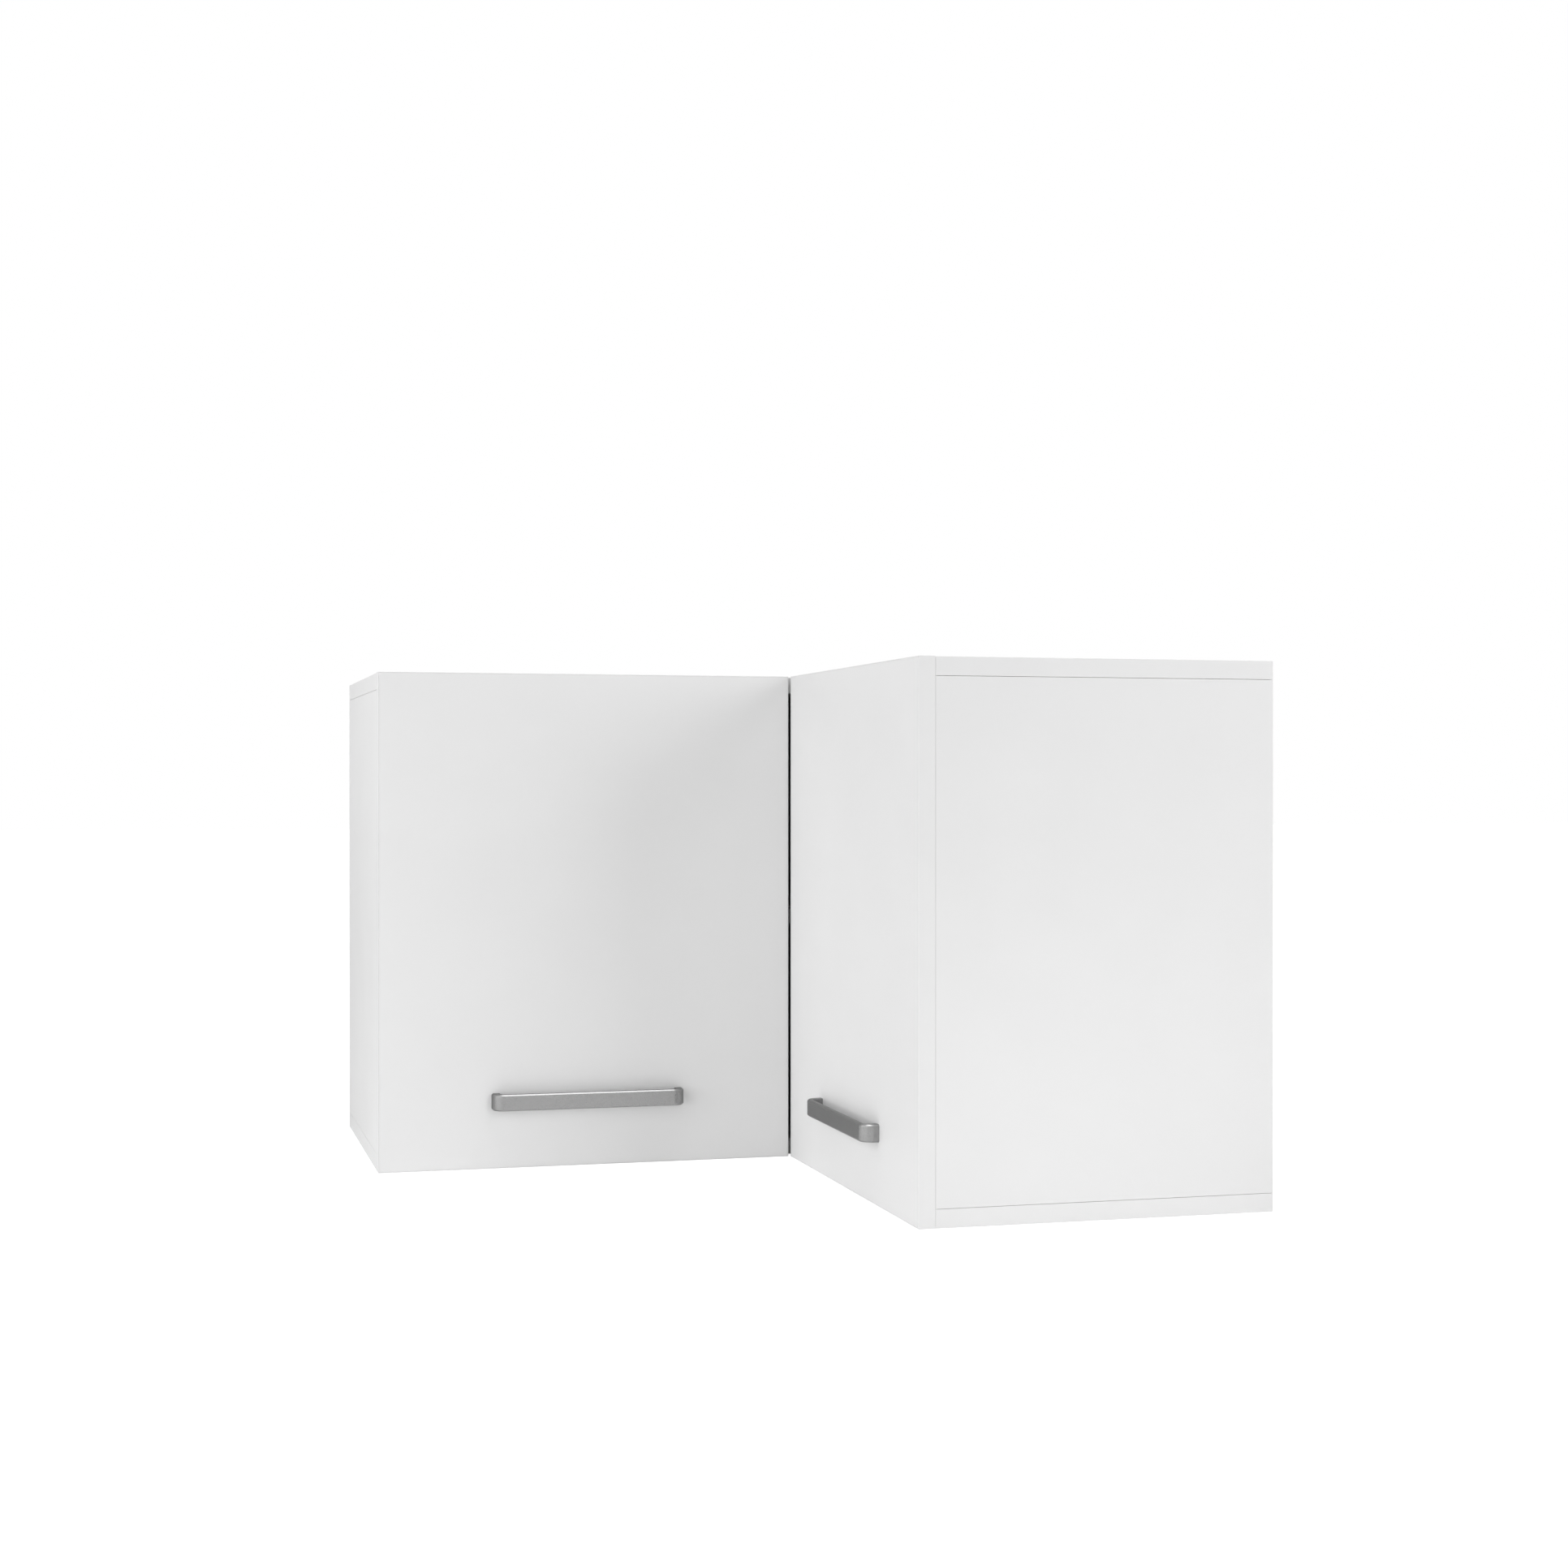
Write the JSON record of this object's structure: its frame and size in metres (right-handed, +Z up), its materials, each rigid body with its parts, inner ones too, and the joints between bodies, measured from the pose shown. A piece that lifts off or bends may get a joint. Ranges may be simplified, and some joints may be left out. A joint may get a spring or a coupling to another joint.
{
  "type": "corner wall cabinet",
  "caption": "L-shaped white corner wall cabinet with a hinged door and a satin strap handle on each wing.",
  "frame": {"origin": "middle of the bounding box's base: on the underside of the bottom board, with the inner corner of the door faces at +X +Y 47 mm from it", "axes": "+Z up; +Y towards the wall behind the left wing, whose door faces -Y; +X towards the wall behind the right wing, whose door faces -X"},
  "size_m": [0.826, 0.826, 0.5405],
  "materials": {
    "white_board": "chipboard faced with satin white melamine",
    "white_hardboard": "thin fibreboard, white lacquered",
    "white_edging": "satin white ABS edging",
    "satin_nickel": "fine satin",
    "nickel_plated_steel": "bright nickel",
    "zinc_plated_steel": "bright zinc",
    "pin_steel": "plain",
    "cast_zinc": "die cast",
    "white_plastic": "moulded",
    "clear_rubber": "soft and translucent",
    "beech": "plain, fluted"
  },
  "bodies": {
    "carcass": {"top_panel": "white_board", "bottom_panel": "white_board", "shelf": "white_board", "corner_post": "white_board", "post_shelf_pins": "zinc_plated_steel", "dowels": "beech", "cam_housings": "cast_zinc", "cam_bolts": "zinc_plated_steel", "cam_caps": "white_plastic", "left_side_panel": "white_board", "left_back_panel": "white_hardboard", "left_hinge_arms": "nickel_plated_steel", "left_arm_pins": "pin_steel", "left_arm_screws": "zinc_plated_steel", "left_hinge_plates": "nickel_plated_steel", "left_plate_screws": "zinc_plated_steel", "left_shelf_pins": "zinc_plated_steel", "left_hanger": "white_plastic", "left_hanger_hook": "zinc_plated_steel", "left_hanger_screws": "zinc_plated_steel", "left_wall_plate": "zinc_plated_steel", "right_side_panel": "white_board", "right_back_panel": "white_hardboard", "right_hinge_arms": "nickel_plated_steel", "right_arm_pins": "pin_steel", "right_arm_screws": "zinc_plated_steel", "right_hinge_plates": "nickel_plated_steel", "right_plate_screws": "zinc_plated_steel", "right_shelf_pins": "zinc_plated_steel", "right_hanger": "white_plastic", "right_hanger_hook": "zinc_plated_steel", "right_hanger_screws": "zinc_plated_steel", "right_wall_plate": "zinc_plated_steel"},
    "left_links": {"left_hinge_links": "nickel_plated_steel"},
    "left_leaf": {"left_door": "white_board", "left_door_edging": "white_edging", "left_handle": "satin_nickel", "left_handle_screws": "zinc_plated_steel", "left_door_buffers": "clear_rubber", "left_hinge_cups": "nickel_plated_steel", "left_cup_screws": "zinc_plated_steel", "left_cup_pins": "pin_steel"},
    "right_links": {"right_hinge_links": "nickel_plated_steel"},
    "right_leaf": {"right_door": "white_board", "right_door_edging": "white_edging", "right_handle": "satin_nickel", "right_handle_screws": "zinc_plated_steel", "right_door_buffers": "clear_rubber", "right_hinge_cups": "nickel_plated_steel", "right_cup_screws": "zinc_plated_steel", "right_cup_pins": "pin_steel"}
  },
  "joints": [
    {"name": "left_link_turn", "type": "hinge", "parent": "carcass", "child": "left_links", "pos_m": [-0.378, 0.0695, 0.27025], "axis": [0, 0, 1], "range_deg": [0, 40]},
    {"name": "left_door_swing", "type": "hinge", "parent": "left_links", "child": "left_leaf", "pos_m": [-0.4015, 0.059, 0.27025], "axis": [0, 0, -1], "range_deg": [0, 140]},
    {"name": "right_link_turn", "type": "hinge", "parent": "carcass", "child": "right_links", "pos_m": [0.0695, -0.378, 0.27025], "axis": [0, 0, -1], "range_deg": [0, 40]},
    {"name": "right_door_swing", "type": "hinge", "parent": "right_links", "child": "right_leaf", "pos_m": [0.059, -0.4015, 0.27025], "axis": [0, 0, 1], "range_deg": [0, 140]}
  ],
  "couplings": [
    {"joint": "left_link_turn", "follows": "left_door_swing", "ratio": 0.28571},
    {"joint": "right_link_turn", "follows": "right_door_swing", "ratio": 0.28571}
  ]
}
